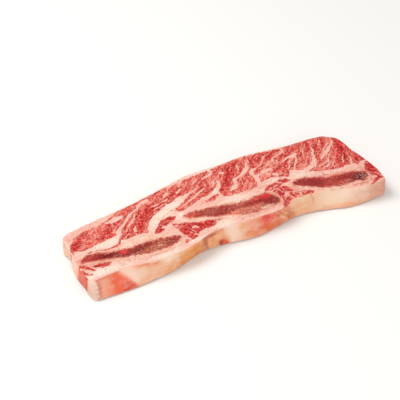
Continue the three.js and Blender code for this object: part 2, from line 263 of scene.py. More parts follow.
# Lean threads that lie in the fat, in the same way.
THREADS = [
    ([(-96, -0.8), (-92.6, -0.4), (-89.4, -1.2), (-86, -2.3), (-81, -2.8), (-75.8, -2.8), (-74, -1.2),
      (-71.6, 2)], (0.4, 0.6, 0.6, 0.8, 0.8, 1, 1.2, 1.8)),
    ([(-62, 13), (-58, 15.2)], (0.8, 0.5)),
    ([(-25.4, 10.4), (-22.4, 12.1), (-19.4, 13.4), (-16.4, 15.1), (-13.8, 16.2), (-9, 17)],
     (1, 1.2, 1, 1.2, 1.8, 2)),
    ([(-8.4, 5.4), (-4, 6), (0, 6.6)], (1.4, 3.4, 2)),
    ([(6, 2.8), (10, 3.8)], (1, 1.2)),
    ([(-39, 7), (-35.4, 7.4)], (0.5, 0.4)),
    ([(38.6, 6.2), (41.4, 7.4), (44.2, 9.6)], (1, 1.2, 1.6)),
    ([(33.6, 12.8), (35.2, 15.4)], (1.4, 1.4)),
    ([(37, 13), (38.8, 15.8)], (1.2, 1.2)),
    ([(66, -2.6), (71, -1), (75, 0.6), (79.4, 1.9), (84, 4.4)], (0.7, 1.8, 1.6, 2, 1)),
    ([(-106, -9.8), (-103.4, -10.8), (-101, -13.4), (-98.8, -16.4)], (2, 3, 3, 1)),
    ([(-98.4, -13.2), (-94.8, -14), (-91.4, -14.6), (-87, -14.8)], (1.6, 2.8, 2.4, 1.4)),
    ([(-93.4, -16), (-89, -15.8)], (1.2, 1)),
    ([(-105.4, -14), (-103.8, -17), (-101.4, -18.8)], (2, 1.8, 1)),
    ([(-12.3, -12.6), (-8.6, -13.9)], (1.8, 1.2)),
    ([(-37.4, -20.8), (-38.6, -22.4)], (2, 1.4)),
    ([(-29.5, 8.4), (-32, 8.8), (-35.1, 8), (-38.2, 6.7)], (0.5, 0.3, 0.3, 0.2)),
    ([(86.6, -29.8), (91, -31)], (0.6, 0.8)),
    ([(97.4, -10.6), (103, -9)], (0.8, 2)),
    ([(-104, 3), (-103, 8)], (0.6, 0.6)),
    ([(82, -26.6), (86, -28.2)], (0.6, 0.5)),
]

# Muscle beside the ribs, as closed outlines: a curl inside the hook of fat, and four more islands.
ISLANDS = [
    [(-50.8, -4.7), (-50, -2.6), (-48.6, -0.4), (-45, 2.1), (-41.6, 4.8), (-38.6, 5), (-35, 4.6),
     (-32.4, 3.4), (-35, 0.8), (-38.6, -0.8), (-41.5, -1.4), (-43.4, -1), (-44.8, -2.6), (-44.2, -3.8),
     (-46.4, -4.8), (-48.6, -5.6)],
    [(-38.2, -2.4), (-36.4, -2.8), (-34.1, -4), (-30.7, -4.8), (-28.3, -5.7), (-25.4, -7.6), (-22.4, -9.8),
     (-17, -10), (-13.8, -11.6), (-13.4, -14.4), (-16.6, -17), (-22.3, -16.4), (-25.1, -17.2),
     (-27.7, -18), (-30.8, -20.4), (-33.7, -21.8), (-35.4, -17.2), (-36.9, -14), (-37.3, -9.6),
     (-37.8, -6.2)],
    [(29.4, -4.8), (31.2, -2.6), (35.2, -1), (40.7, -0.2), (43.9, 0.6), (47, -0.6), (50, -2.6), (47, -4),
     (43.9, -3.4), (41.5, -4.8), (38.4, -6), (34.6, -5.2), (31.3, -6.4)],
    [(33, -6.6), (38, -6), (42, -6.2), (44.6, -8), (44.8, -12), (46.4, -14.6), (50.4, -16.4), (54, -18.6),
     (58, -20), (55, -21.4), (50.6, -20.8), (46, -20.8), (42, -20.2), (39, -20.8), (35.6, -23.2),
     (32, -25.6), (30.2, -25), (32.6, -21.6), (34.2, -18.6), (34.6, -14), (33.6, -9.6)],
    [(101, -14.6), (112, -11), (112, -32), (102, -31.6), (96, -33.2), (91.6, -33.8), (97, -30.8),
     (100.4, -28.6), (98.6, -25), (98, -21), (99, -17.6)],
]

# Fine strands of fat across those islands, as centre lines and widths.
STRANDS = [
    ([(-44, -0.6), (-42.6, 2.4)], (0.4, 0.2)),
    ([(-40.4, 1.4), (-37.6, 3)], (0.2, 0.3)),
    ([(-29.4, -11.8), (-27, -11.6), (-25.6, -13.4)], (0.9, 1.4, 1)),
    ([(-31.6, -11.4), (-30.1, -13.4), (-28, -17.1)], (0.2, 0.5, 0.7)),
    ([(-32.7, -13.9), (-31.1, -16.8), (-29.5, -20.3)], (0.4, 0.9, 1.1)),
    ([(-37.4, -4.4), (-34.6, -5.6), (-32, -5.8)], (0.6, 0.6, 0.3)),
    ([(-20.4, -10.4), (-21, -14.6)], (0.5, 0.6)),
    ([(32.4, -4.6), (36, -3), (39.6, -4.4)], (0.5, 0.8, 0.5)),
    ([(41, -0.8), (43.4, -2.8)], (0.4, 0.7)),
    ([(37.2, -5.8), (38.4, -9.4), (39.6, -13.2), (38, -16.4), (36, -18)], (1.2, 1, 1.3, 1, 0.5)),
    ([(41, -6), (41, -12.4), (42, -15)], (1, 0.9, 1.1)),
    ([(34, -12.6), (37, -15), (40, -13.6), (45, -14), (48, -16.6), (52, -19)],
     (0.5, 0.9, 1.3, 1.4, 1, 0.5)),
    ([(40.6, -15), (41, -19.6)], (1.2, 0.8)),
    ([(44.6, -15.4), (44.8, -20)], (0.9, 1.2)),
    ([(48, -17.4), (47, -20.4)], (0.6, 0.8)),
    ([(35.6, -8), (34.8, -12)], (0.5, 0.6)),
    ([(99, -22.4), (102.4, -26), (103.4, -30)], (0.9, 0.5, 0.7)),
]

# Where blood tinges the fat and the bone: x, y, half-lengths in x and y, and how strongly.
BLUSH = [
    (-99, 17, 9, 5, 0.25), (-86, 21.6, 12, 2.4, 0.3), (69, -10.6, 7, 2, 0.9), (79, -14.2, 7, 2, 1),
    (88, -16.8, 6, 2, 1), (96, -21, 3, 3, 0.8), (-101, -7, 5, 3, 0.8), (-93, -10, 9, 1.6, 0.7),
    (-90, -12, 13, 2.4, 0.6), (-62, -22, 16, 1.6, 0.35), (-84, -5.2, 9, 1.8, 0.4),
    (-76, -19.6, 8, 2.4, 0.4), (-60, -9, 16, 1.4, 0.4), (-36.6, -12, 3, 9, 0.4), (-20, -4.4, 8, 2, 0.3),
    (-6, 5.4, 7, 3.4, 0.4), (24, 0.6, 14, 3, 0.35), (34, -12, 5, 12, 0.55), (46, -12, 8, 6, 0.5),
    (68, -8, 14, 1.8, 0.3), (86, -14, 14, 3, 0.2), (99, -22, 6, 10, 0.6), (88, -29.6, 14, 2.6, 0.5),
    (64, -21, 8, 2, 0.4), (66, 2, 7, 3, 0.2), (-98, 21, 8, 1.4, 0.2), (-82, 20, 14, 2, 0.3),
    (16, -20, 14, 2.2, 0.45), (-10, -12, 10, 2, 0.35), (-16, 30, 8, 3, 0.4),
]

# How richly marbled the muscle is: x, y, length along the fibres, width across them, and how much paler (or
# darker, where it is negative) it is than elsewhere.
RICHNESS = [
    (-92, 13, 5, 2.4, 0.3), (-85, 11.6, 8, 3.6, 0.3), (-90, 8.4, 7, 2.4, 0.25), (-88, 16.6, 3, 1.8, 0.3),
    (-82, 17.4, 5, 1.8, 0.5), (-79, 16, 5, 1.6, 0.5), (-76.4, 11, 3, 2, 0.6), (-72.6, 9, 3, 1.8, 0.5),
    (-71.6, 14.4, 4, 1.6, 0.4), (-57.6, 24.4, 4, 1.8, 0.4), (-57.4, 21.6, 5, 1.6, 0.3),
    (-60.6, 1.2, 4, 2.4, 0.5), (-54.6, 0.6, 5, 4, 0.5), (-43.6, 25, 7, 3, 0.7), (-38, 24, 7, 3.6, 0.4),
    (-27.8, 24, 6, 3, 0.6), (-18, 23.6, 6, 3.6, 0.7), (-12, 21, 6, 3.4, 0.4), (-12.6, 28.2, 3, 2, 0.8),
    (-5, 26.6, 6, 2.4, 0.5), (8, 24, 8, 4, 0.3), (22, 8, 12, 6, 0.3), (26, 4.6, 8, 5, 0.4),
    (40, 11.6, 14, 6, 0.7), (37, 7, 5, 4, 0.4), (45, 6.4, 7, 3, 0.6), (31, 14.6, 7, 4, 0.5),
    (65, 16.4, 9, 4, 0.5), (66, 5, 14, 5, 0.5), (64, 10, 9, 4, 0.25), (76, -3, 12, 4, 0.35),
    (84, -3, 10, 5, 0.25), (84, 6.4, 9, 4, 0.4), (-99, 9, 9, 4.6, -0.9), (-95.4, 12, 7, 3, -0.6),
    (-90, 17.4, 6, 2, -0.4), (-79, 9, 10, 2.2, -0.6), (-72, 16.6, 7, 3, -0.6), (-74, 11.6, 6, 2, -0.6),
    (-56, 5.6, 6, 3.6, -0.8), (-50, 12, 18, 4, -0.8), (-53, 16, 10, 3, -0.5), (-42, 20, 12, 3.4, -0.6),
    (-40, 16.6, 10, 2.4, -0.5), (-32, 20, 12, 2.6, -0.5), (-22, 28.4, 6, 2, -0.6), (-26, 22, 8, 3.4, -0.3),
    (-5, 18.8, 8, 3.4, -0.7), (-3, 23, 6, 2.4, -0.5), (-3, 13, 10, 2.4, -0.6), (13, 16, 16, 4.6, -0.6),
    (11, 11, 10, 3.4, -0.4), (18, 21, 12, 5, -0.5), (20, 26, 9, 5, -0.6), (27, 22, 8, 2.4, -0.5),
    (5, 30.6, 9, 1.8, -0.6), (12, 29, 5, 2, -0.6), (28, 30, 12, 2.6, -0.7), (36, 23, 12, 3.4, -0.6),
    (39, 28, 8, 2.6, -0.6), (48, 10.4, 7, 3, -0.7), (46.4, 22.2, 5, 2, -0.4), (53, 26, 9, 3, -0.6),
    (57, 13.4, 8, 2.6, -0.7), (56.6, 8, 8, 2.6, -0.7), (61.4, 19.4, 7, 2, -0.7), (68, 22.4, 8, 4, -0.6),
    (73, 23.6, 6, 3, -0.5), (79, 20, 12, 4.6, -0.5), (86, 19, 10, 4, -0.6), (88, 14.4, 6, 2, -0.7),
    (92, 20, 10, 6, -0.5), (99, 10, 24, 8, -1), (94.6, -2, 12, 5, -0.7), (102, -5, 12, 5, -0.7),
    (-43, 1, 10, 6, -0.3), (-22, -13, 14, 8, -0.7), (-35, -14, 14, 6, -0.6), (36, -12, 24, 12, -0.3),
    (102, -22, 20, 12, -1), (-97, -13.5, 18, 8, -1),
]

# Where the fat is whitest: x, y, half-lengths in x and y, and how strongly.
WHITENESS = [
    (-80, 1.8, 12, 4, 1), (-92, 1.6, 8, 3, 0.5), (-48, 5, 6, 6, 0.8), (-38, 9.6, 9, 4, 1),
    (-28, 13, 9, 4, 1), (-29, 1, 4, 5, 0.7), (-94, -19.8, 12, 3.2, 1.2), (-80, -21, 9, 2.4, 0.7),
    (-55, -25, 12, 3.4, 0.8), (-9, -19, 8, 4, 0.8), (9, -2, 11, 3.6, 0.8), (39, 2, 5, 2.4, 0.6),
    (-24, 16, 7, 3, 0.6), (2, 11.4, 5, 3, 0.5), (-33, -23, 7, 2, 0.8), (60, -2, 12, 4, 0.5),
    (80, -9, 12, 2, 0.4), (-66, 18.6, 4, 3, 0.4), (6, 33.6, 12, 2, 0.6), (46, 31.6, 26, 2, 0.7),
    (-14, 33, 8, 2, 0.5),
]

# The way the muscle's fibres rise from left to right, as (x, degrees).
FIBRE_TILT = [(-130, 18), (-105, 18), (-90, 20), (-75, 24), (-62, 34), (-50, 36), (-42, 22), (-30, 16),
              (-10, 18), (0, 28), (10, 40), (20, 42), (30, 42), (40, 32), (50, 28), (60, 30), (70, 42),
              (80, 48), (90, 48), (98, 62), (106, 68), (130, 68)]

# Paint on the rib side and on the left end: (x or y, height) of the middle, half-sizes, colour, strength.
# Their peach and orange tones are the membrane's own colours warmed with painted reflected light from
# below, most of all near the foot.
FRONT_PAINT = [
    ((0, 6), (300, 60), (240, 184, 150), 1),
    ((-105, 6), (5.4, 12), (249, 214, 194), 1),
    ((-79.4, 6), (3, 3), (247, 212, 194), 0.9),
    ((-75, 6.6), (6, 4), (245, 204, 180), 0.9),
    ((-71, 11.4), (4, 1), (240, 164, 128), 0.6),
    ((-64.6, 9.6), (5.6, 1.6), (240, 160, 120), 0.7),
    ((-66, 3.4), (7, 3), (240, 178, 146), 0.7),
    ((-54, 11.4), (6, 3), (248, 222, 198), 0.9),
    ((-54, 3), (8, 4), (236, 162, 108), 0.8),
    # Painted shade: the orange-brown dabs at x = -41, -46 (height 2), -34, -31, -26.8 and -21 (height 5)
    # darken a hollow in the rib side.
    ((-41, 6), (8, 10), (228, 148, 78), 0.9),
    ((-46, 11), (6, 3), (246, 200, 164), 0.6),
    ((-46, 2), (6, 3), (226, 134, 60), 0.7),
    ((-34, 5), (6, 10), (224, 136, 48), 0.9),
    ((-31, 2), (3, 3), (224, 128, 48), 0.6),
    # Painted shade: the deepest part of that hollow.
    ((-26.8, 8), (3, 9), (200, 102, 40), 0.8),
    ((-21, 11), (6, 2), (196, 88, 50), 0.75),
    ((-21, 5), (4, 5), (230, 150, 76), 0.8),
    ((-15.4, 8.6), (3, 3.4), (238, 156, 108), 0.7),
    ((-6.6, 7), (5.4, 10), (248, 210, 188), 1),
    ((6, 2.4), (7, 3), (234, 142, 98), 0.8),
    ((1, 10.6), (4, 3), (242, 160, 116), 0.7),
    ((8, 8), (5, 6), (238, 144, 114), 0.7),
    ((14, 6), (4, 4), (230, 120, 94), 0.8),
    ((19, 9.6), (8, 4.6), (232, 92, 80), 1),
    ((17.6, 11), (3, 1.4), (214, 66, 64), 0.7),
    ((20, 3), (12, 4), (222, 96, 44), 0.9),
    ((26, 5), (5, 6), (222, 118, 82), 0.85),
    ((-13.6, 2.4), (4.8, 3.6), (230, 122, 62), 0.85),
    ((31.4, 8), (5, 8), (242, 164, 126), 0.95),
    ((25.6, 10.6), (3.4, 3), (232, 108, 78), 0.7),
    ((36.6, 3), (6, 5), (218, 122, 78), 0.85),
    ((46, 7), (8, 9), (238, 180, 138), 0.9),
    ((47, 11), (7, 2.6), (244, 206, 172), 0.7),
    ((68, 8), (14, 7), (242, 208, 180), 1),
    ((78, 9), (9, 4), (246, 214, 194), 0.8),
    ((87, 7), (9, 8), (236, 190, 168), 0.9),
    ((84, 10.6), (6, 2), (244, 206, 186), 0.7),
    ((97, 6), (8, 10), (216, 160, 138), 0.95),
    ((102.4, 7), (4, 8), (218, 150, 130), 0.85),
    # The two dabs below are painted reflected light: warm orange along the foot of the rib side.
    ((76, 1.6), (14, 1.8), (234, 160, 120), 0.7),
    ((60, 1), (12, 1.6), (236, 172, 128), 0.5),
]
LEFT_PAINT = [
    ((-4, 6), (60, 60), (248, 200, 176), 1),
    ((15, 6), (12, 20), (245, 200, 176), 1),
    ((19, 9), (4, 2.4), (236, 170, 142), 0.7),
    ((11, 4), (4, 2), (238, 168, 140), 0.7),
    ((15, 11.6), (6, 1), (250, 220, 204), 0.6),
    ((-6.4, 4), (2.6, 6), (240, 156, 128), 0.6),
]

# Lean that shows on the left end, and the strands of fat across it, as (y, height).
END_LEAN = [(-8, 15), (-8.8, 9), (-7.4, 3), (-8.4, -1), (-20.4, -1), (-20.8, 6), (-21, 15)]
END_STRIP = [(1.6, 13.6), (3.8, 10), (5.6, 6.4), (6.6, 1)], (2, 3.4, 3.6, 2)
END_FAT = [
    ([(-9.6, 13), (-10.6, 9), (-10.2, 4)], (0.8, 1.2, 0.6)),
    ([(-12.6, 13.6), (-14, 9), (-13, 5)], (1, 1.3, 0.6)),
    ([(-15.4, 13.6), (-17.4, 9), (-17, 4.4), (-18, 0)], (1.3, 1.6, 1.3, 0.8)),
]

# Filled outlines on the same two sides, with the softness of their edges, their colour and strength. Their
# orange is partly painted reflected light from below.
FRONT_SHAPES = [
    ([(-90, 13.6), (-84, 13), (-78, 11), (-76, 6), (-78, 1), (-81, -1), (-84, 4), (-88, 10)],
     2, (248, 212, 194), 0.8),
    ([(-101, 11.4), (-93, 11.8), (-92, -1), (-101, -1)], 1.8, (242, 166, 138), 0.9),
    ([(-96, 9), (-93, 13), (-87, 12), (-76.6, -1), (-97, -1)], 2.2, (240, 140, 110), 0.8),
    ([(-93.4, 6), (-93, 10.6), (-89.6, 12.6), (-87, 11.6), (-84.4, 7.4), (-80.4, 4.4), (-76.4, -1),
      (-93, -1)], 2.4, (238, 106, 72), 1),
    ([(-86.6, 3.6), (-84, 4.8), (-80.6, 3.8), (-76, -1), (-87, -1)], 1.6, (222, 76, 54), 1),
    ([(-17.2, -1), (-16.6, 3), (-13.8, 4.2), (-11, 3), (-10.6, -1)], 0.8, (222, 82, 26), 1),
    ([(-17, -1), (-16.4, 2.8), (-14.6, 3.2), (-14, -1)], 0.7, (150, 34, 10), 0.9),
]
LEFT_SHAPES = [
    (END_LEAN, 1, (226, 84, 52), 0.95),
    ([(0.6, 15), (2.4, 10), (4, 5), (5, 1), (8, 1), (7.4, 6), (5.4, 11), (4, 15)],
     0.8, (206, 60, 50), 0.95),
    ([(-21.6, 15), (-21.4, -1), (-32, -1), (-32, 15)], 0.8, (249, 208, 188), 1),
]

# Fine marks on the rib side: (x, height) lines, their widths, colour and strength; the last few are painted
# shade between the beads of fat.
FRONT_MARKS = [
    ([(22.6, 12.6), (26, 7.4), (30, 2.4)], (0.8, 1.1, 0.6), (196, 84, 50), 0.8),
    ([(25, 13), (28, 9), (32, 5.4), (36, 2.4)], (0.9, 1.2, 0.8), (188, 78, 46), 0.75),
    ([(28, 13), (31.4, 9.4), (36, 6), (39, 3.6)], (0.8, 1.1, 0.6), (186, 76, 48), 0.65),
    ([(31.4, 12.8), (34.4, 9.8), (38.6, 6.8)], (0.7, 1, 0.5), (196, 90, 62), 0.55),
    ([(-28, 12.8), (-26.6, 9), (-25.6, 4), (-24.4, 0.6)], (2, 2.2, 1.6, 1), (176, 88, 56), 0.55),
    ([(-29, 12), (-24, 11), (-18, 10.6), (-13, 11.4)], (1.8, 1.8, 1.4, 0.8), (180, 88, 64), 0.6),
    ([(-33, 11), (-30, 6), (-28, 1.6)], (0.7, 0.9, 0.7), (192, 104, 56), 0.45),
    ([(-37, 10.6), (-34, 5), (-32, 1)], (0.6, 0.8, 0.6), (196, 110, 60), 0.35),
    ([(-22, 9), (-20, 5), (-18.6, 1)], (0.6, 0.8, 0.6), (200, 116, 74), 0.35),
    ([(-80, 12.4), (-74, 12), (-68, 10.8), (-61, 9.4)], (0.9, 1.4, 1.8, 1), (234, 130, 94), 0.7),
    ([(-99, 11.2), (-93, 12), (-88, 12.6)], (1, 1.2, 1), (224, 98, 76), 0.6),
    ([(-101.6, 11.4), (-101, 7), (-101.6, 2.4)], (1.4, 1.8, 1.2), (214, 100, 84), 0.65),
    ([(-46, 12.4), (-46.8, 7), (-47.4, 1.6)], (0.7, 1, 0.7), (212, 134, 86), 0.4),
    ([(52, 12), (54, 9), (53.4, 6)], (0.6, 1.4, 0.5), (210, 134, 100), 0.5),
    ([(84, 10), (90, 7), (97, 6)], (0.6, 0.9, 0.6), (206, 142, 120), 0.35),
    ([(3, 4.6), (8, 3.8), (13, 4.4)], (0.8, 1, 0.8), (214, 120, 90), 0.5),
    # Painted shade: short rosy lines in the valleys between the beads of fat.
    *[([(-103, (k + 0.5) * BEAD_SPACING), (-99.4, (k + 0.6) * BEAD_SPACING)], (1, 0.8),
       (220, 104, 88), 0.7) for k in range(BEADS)],
]

# Marrow: (x, y) of the middle, half-sizes, colour, strength.
MARROW_PAINT = [
    ((0, -10), (200, 60), (150, 44, 40), 1),
    ((-98, -5), (6, 3), (176, 58, 54), 0.8),
    ((-85, -9), (9, 4), (116, 24, 26), 0.85),
    ((-75.4, -9.8), (3, 2), (214, 50, 56), 0.95),
    ((-64, -13), (9, 4), (128, 38, 36), 0.8),
    ((-58, -16), (10, 3), (188, 92, 64), 0.8),
    ((-52, -15), (6, 4), (180, 88, 62), 0.8),
    ((-45, -15.4), (5, 3), (146, 36, 34), 0.9),
    ((-24, -1.2), (6, 2.6), (206, 82, 76), 0.9),
    ((-12, -4), (8, 4), (172, 82, 72), 0.8),
    ((0, -8), (8, 3.4), (154, 62, 56), 0.8),
    ((2, -14), (12, 3.6), (204, 108, 94), 1),
    ((14, -15.6), (10, 3.4), (202, 104, 92), 1),
    ((8, -8.4), (9, 2), (166, 76, 70), 0.8),
    ((20, -8.4), (6, 1.6), (196, 70, 70), 0.8),
    ((27, -9.4), (4.6, 2.4), (208, 44, 54), 0.9),
    ((28, -14.4), (5, 4.2), (136, 34, 36), 0.9),
    ((22.4, -18.8), (5, 2), (240, 190, 172), 0.85),
    ((55, -9.4), (6, 4), (148, 50, 52), 0.8),
    ((63, -13), (7, 5), (138, 42, 44), 0.8),
    ((71, -18), (6, 5), (172, 66, 60), 0.8),
    ((77, -22.6), (7, 3), (186, 72, 64), 0.85),
    ((84, -18.6), (6, 2.4), (140, 42, 46), 0.8),
    ((91, -23.6), (6, 4), (96, 28, 32), 0.9),
]

# Where the marrow shows pale walls between its pores: x, y, half-lengths in x and y, and how strongly.
LATTICE = [(92, -23.6, 5, 3.4, 1), (-54, -16, 10, 3, 1), (-68, -14.6, 9, 2, 0.6), (28, -15, 4, 3, 0.3),
           (21, -18, 8, 1.8, 0.9), (12, -17, 9, 2, 0.6), (78, -23.6, 10, 1.6, 0.7),
           (-84, -11.6, 9, 1.4, 0.6)]


def curve_points(points, per_span=CURVE_STEPS):
    """Points along a smooth curve through the given ones."""
    p = np.array([points[0], *points, points[-1]], float)
    t = np.linspace(0, 1, per_span, endpoint=False)[:, None]
    spans = []
    for a, b, c, d in zip(p, p[1:], p[2:], p[3:]):
        slope = c - a
        bend = 2 * a - 5 * b + 4 * c - d
        twist = 3 * b - a - 3 * c + d
        spans.append((2 * b + slope * t + bend * t**2 + twist * t**3) / 2)
    return np.vstack([*spans, p[-1:]])


def along(points, x):
    """The second coordinate of a smooth curve, at each first coordinate x."""
    line = curve_points(points, EDGE_STEPS)
    return np.interp(x, line[:, 0], line[:, 1])


def smooth(x, low, high):
    """0 below low, 1 above high, and a smooth rise between them."""
    t = np.clip((x - low) / (high - low), 0, 1)
    return t * t * (3 - 2 * t)


def wander(points, size, seed):
    """Smooth random values between -1 and 1 that change over about size millimetres."""
    table = np.random.default_rng(seed).uniform(-1, 1, (WANDER_CELLS,) * 3)
    q = np.asarray(points, float) @ WANDER_TURN / size
    cell = np.floor(q).astype(int)
    t = smooth(q - cell, 0, 1)
    total = 0
    for corner in np.ndindex(2, 2, 2):
        weight = np.prod(np.where(corner, t, 1 - t), axis=1)
        i, j, k = ((cell + corner) % WANDER_CELLS).T
        total = total + weight * table[i, j, k]
    return total


def ripple(points, coarse, fine, reach, seed):
    """Random shifts in two directions: coarse waves up to reach high, with fine ones half as high."""
    shifts = [wander(points, size, seed + n) for n, size in enumerate((coarse, coarse, fine, fine))]
    return np.column_stack(shifts[:2]) * reach + np.column_stack(shifts[2:]) * (reach / 2)


def band_depth(points, line, widths):
    """How deep each (x, y) lies inside a band round a curve, whose widths are given from end to end."""
    centre = curve_points(line)
    steps = np.linspace(0, len(widths) - 1, len(centre))
    half = np.interp(steps, range(len(widths)), widths) / 2
    low, high = centre.min(0) - BAND_MARGIN, centre.max(0) + BAND_MARGIN
    near = np.all((points > low) & (points < high), axis=1)
    here = points[near]
    best = np.full(len(here), -FAR)
    for a, b, wide, narrow in zip(centre, centre[1:], half, half[1:]):
        run = b - a
        t = np.clip(((here - a) @ run) / (run @ run), 0, 1)
        gap = np.linalg.norm(here - a - t[:, None] * run, axis=1)
        best = np.maximum(best, wide + (narrow - wide) * t - gap)
    depth = np.full(len(points), -FAR)
    depth[near] = best
    return depth


def outline_depth(points, outline):
    """How deep each (x, y) lies inside a closed outline; it is negative outside."""
    inside = np.zeros(len(points), bool)
    gap = np.full(len(points), FAR)
    for a, b in zip(outline, np.roll(outline, -1, axis=0)):
        run = b - a
        t = np.clip(((points - a) @ run) / max(run @ run, TINY), 0, 1)
        gap = np.minimum(gap, np.linalg.norm(points - a - t[:, None] * run, axis=1))
        spans = (a[1] > points[:, 1]) != (b[1] > points[:, 1])
        rise = run[1] if run[1] else TINY
        inside ^= spans & (points[:, 0] < a[0] + run[0] * (points[:, 1] - a[1]) / rise)
    return np.where(inside, gap, -gap)


def rounded_outline(points):
    """A smooth closed outline through the points."""
    loop = curve_points([points[-1], *points, points[0], points[1]])
    return loop[CURVE_STEPS:-2 * CURVE_STEPS - 1]


def tissue_place(p):
    """The (x, y) of each point on the upper face, once it has slid up along the ribs' lean."""
    return np.stack([p[:, 0] - RIB_LEAN * (p[:, 2] / THICKNESS - 1), p[:, 1]], axis=1)


def island_depth(spot):
    """How deep each spot lies inside the muscle beside the ribs."""
    return np.max([outline_depth(spot, rounded_outline(outline)) for outline in ISLANDS], axis=0)


def rib_cover(spot):
    """How deep each spot lies under the nearest rib."""
    bones = [rounded_outline(outlines["bone"]) for outlines in RIBS.values()]
    return np.max([outline_depth(spot, bone) for bone in bones], axis=0)


def fat_depth(spot):
    """How deep each spot lies inside fat; it is negative in muscle."""
    seam = along(MUSCLE_EDGE, spot[:, 0]) - spot[:, 1]
    cap = spot[:, 1] - along(BACK_EDGE, spot[:, 0]) + along(CAP_THICKNESS, spot[:, 0])
    fat = np.maximum(seam, cap)
    for line, widths in VEINS:
        fat = np.maximum(fat, band_depth(spot, line, widths))
    fat = np.minimum(fat, -island_depth(spot))
    for line, widths in THREADS:
        fat = np.minimum(fat, -band_depth(spot, line, widths))
    for line, widths in STRANDS:
        fat = np.maximum(fat, band_depth(spot, line, widths))
    return np.clip(fat, -FAT_LIMIT, FAT_LIMIT)


def end_lean(spot):
    """How deep each (y, height) on the left end lies inside lean."""
    lean = np.maximum(outline_depth(spot, END_LEAN), band_depth(spot, *END_STRIP))
    for line, widths in END_FAT:
        lean = np.minimum(lean, -band_depth(spot, line, widths))
    return np.clip(lean, -END_LIMIT, END_LIMIT)


def grain(spot, height):
    """Coordinates along and across the muscle's fibres, and the height."""
    x = np.linspace(-GRAIN_REACH, GRAIN_REACH, 4 * GRAIN_REACH + 1)
    tilt = np.radians(along(FIBRE_TILT, x))
    step = x[1] - x[0]
    rise = np.interp(spot[:, 0], x, np.cumsum(np.tan(tilt)) * step)
    run = np.interp(spot[:, 0], x, np.cumsum(1 / np.cos(tilt)) * step)
    return np.stack([run, spot[:, 1] - rise, height], axis=1)


def richness(fibres):
    """How pale the marbling makes the muscle, from soft zones that lie along the fibres."""
    total = np.zeros(len(fibres))
    for x, y, length, width, amount in RICHNESS:
        middle = grain(np.array([[x, y]], float), np.zeros(1))[0]
        gap = (fibres[:, :2] - middle[:2]) / [length / 2, width / 2]
        total += amount * np.exp(-0.8 * np.sum(gap**2, axis=1))
    return np.clip(total, -1, 1)


def patches(spot, zones):
    """The strongest of some soft patches at each spot."""
    total = np.zeros(len(spot))
    for x, y, half_length, half_width, amount in zones:
        gap = (spot - (x, y)) / [half_length, half_width]
        total = np.maximum(total, amount * np.exp(-np.sum(gap**2, axis=1)))
    return total


def face_swell(x, y):
    """The sawn face isn't quite flat: it has long, shallow swells."""
    return FACE_SWELL * (np.sin(x / 23 + 0.6) * np.cos(y / 15) + 0.5 * np.sin(x / 9.5 + y / 12))


def deselect():
    bpy.ops.object.select_all(action="DESELECT")


def block(name, cells):
    """A closed box from -1 to 1 with a fine grid on every face: a flat grid, extruded and cut across."""
    along_cells, across_cells, up_cells = cells
    deselect()
    bpy.ops.mesh.primitive_grid_add(
        x_subdivisions=along_cells, y_subdivisions=across_cells, size=2, location=(0, 0, 0))
    piece = bpy.context.object
    piece.name = piece.data.name = name
    bpy.ops.object.mode_set(mode="EDIT")
    bpy.ops.mesh.select_mode(type="EDGE")
    bpy.ops.mesh.select_all(action="SELECT")
    bpy.ops.mesh.extrude_region_move(TRANSFORM_OT_translate={"value": (0, 0, 1)})
    bpy.ops.mesh.select_all(action="DESELECT")
    bpy.ops.object.mode_set(mode="OBJECT")
    height = coordinates(piece)[:, 2]
    ends = np.empty(len(piece.data.edges) * 2, int)
    piece.data.edges.foreach_get("vertices", ends)
    ends = ends.reshape(-1, 2)
    upright = np.abs(height[ends[:, 0]] - height[ends[:, 1]]) > 0.5
    piece.data.edges.foreach_set("select", upright)
    bpy.ops.object.mode_set(mode="EDIT")
    bpy.ops.mesh.subdivide(number_cuts=up_cells - 1)
    bpy.ops.mesh.select_all(action="SELECT")
    bpy.ops.mesh.normals_make_consistent(inside=False)
    bpy.ops.object.mode_set(mode="OBJECT")
    co = coordinates(piece)
    co[:, 2] = co[:, 2] * 2 - 1
    move_points(piece, co)
    return piece


def coordinates(piece):
    """The piece's points as rows of x, y and z."""
    co = np.empty(len(piece.data.vertices) * 3)
    piece.data.vertices.foreach_get("co", co)
    return co.reshape(-1, 3)


def move_points(piece, co):
    """Moves the piece's points to the rows of co."""
    piece.data.vertices.foreach_set("co", np.ascontiguousarray(co, float).ravel())
    piece.data.update()


def normals(piece):
    """The piece's outward direction at each point."""
    out = np.empty(len(piece.data.vertices) * 3)
    piece.data.vertex_normals.foreach_get("vector", out)
    return out.reshape(-1, 3)


def record(piece, name, values):
    """Keeps a number, a vector or a colour for each of the piece's points, for its material to read."""
    kinds = {1: ("FLOAT", "value"), 3: ("FLOAT_VECTOR", "vector"), 4: ("FLOAT_COLOR", "color")}
    kind, slot = kinds[1 if values.ndim == 1 else values.shape[1]]
    layer = piece.data.attributes.new(name, kind, "POINT")
    layer.data.foreach_set(slot, np.ascontiguousarray(values, np.float32).ravel())


def grid_lines(half, cells, edge):
    """Grid lines from -half to half, closer together within each soft edge."""
    inner = half - edge
    curl = edge * np.sin(np.linspace(0, math.pi / 2, EDGE_CELLS + 1)[1:])
    even = np.linspace(-inner, inner, cells - 2 * EDGE_CELLS + 1)
    return np.concatenate([-inner - curl[::-1], even, inner + curl])


def soft_box(unit, half, cells, edge):
    """Points of a unit grid box drawn onto a box of this half-size with round edges."""
    p = np.empty_like(unit)
    for axis in range(3):
        lines = grid_lines(half[axis], cells[axis], edge)
        p[:, axis] = lines[np.rint((unit[:, axis] + 1) / 2 * cells[axis]).astype(int)]
    inner = half - edge
    core = np.clip(p, -inner, inner)
    out = p - core
    length = np.linalg.norm(out, axis=1, keepdims=True)
    return core + out * np.minimum(1, edge / np.maximum(length, TINY))


